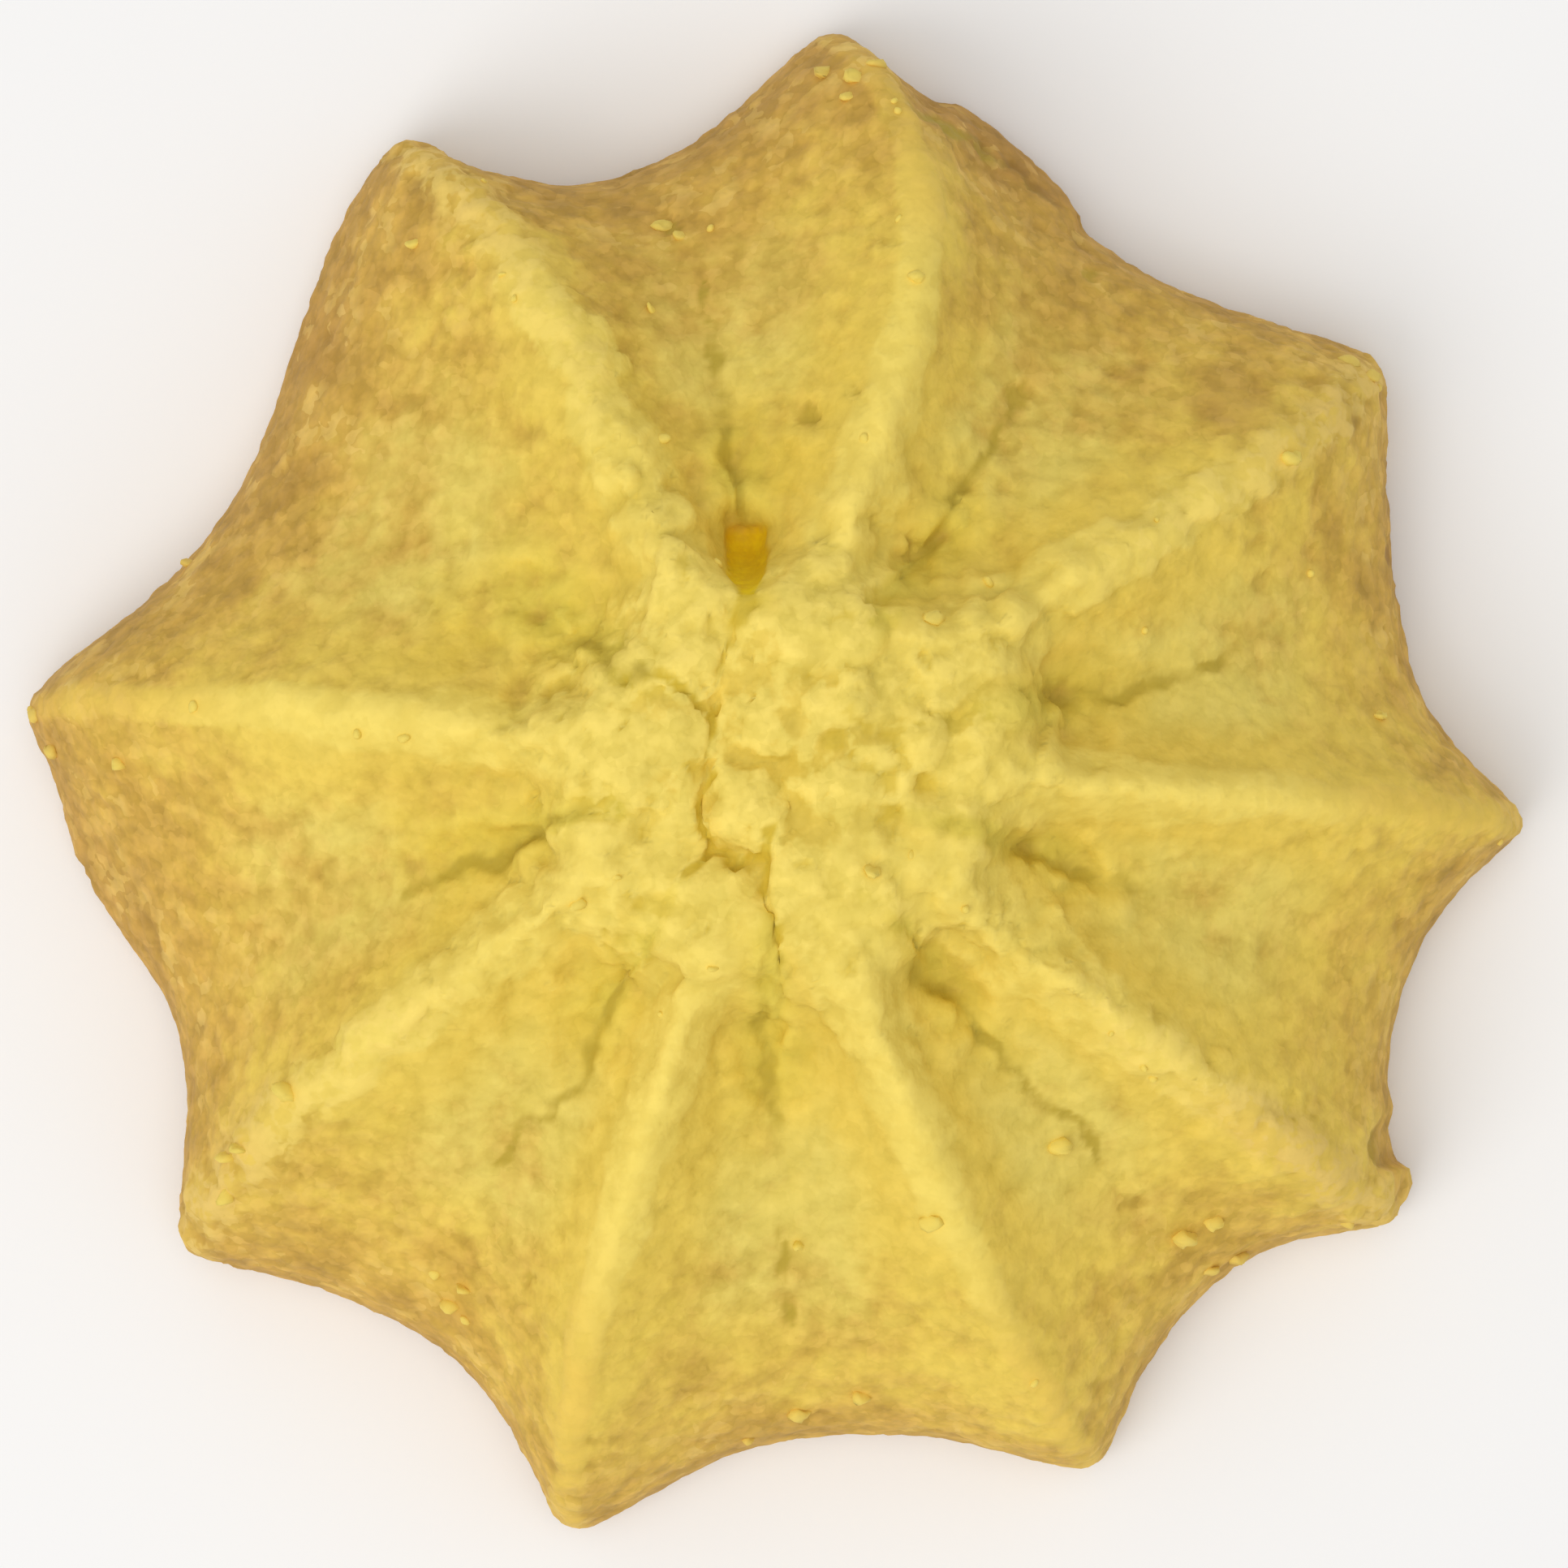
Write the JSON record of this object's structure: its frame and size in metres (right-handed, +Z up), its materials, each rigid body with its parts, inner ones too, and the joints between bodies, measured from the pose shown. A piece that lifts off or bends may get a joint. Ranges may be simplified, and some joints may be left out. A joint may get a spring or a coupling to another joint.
{
  "type": "piped butter cookie",
  "caption": "Baked butter cookie piped through a star nozzle: a low dome with sharp radiating ridges, hollow valleys, a torn lumpy crown and a flat base.",
  "frame": {"origin": "middle of the outline, on the flat base that the cookie rests on", "axes": "+Z up from the base through the crown; +Y towards the top of the picture"},
  "size_m": [0.0416, 0.0416, 0.0148],
  "materials": {
    "baked_dough": "dry crumbly pale golden dough, paler on the ridges and browner round the rim"
  },
  "bodies": {
    "root": {"butter_cookie": "baked_dough"}
  },
  "joints": []
}
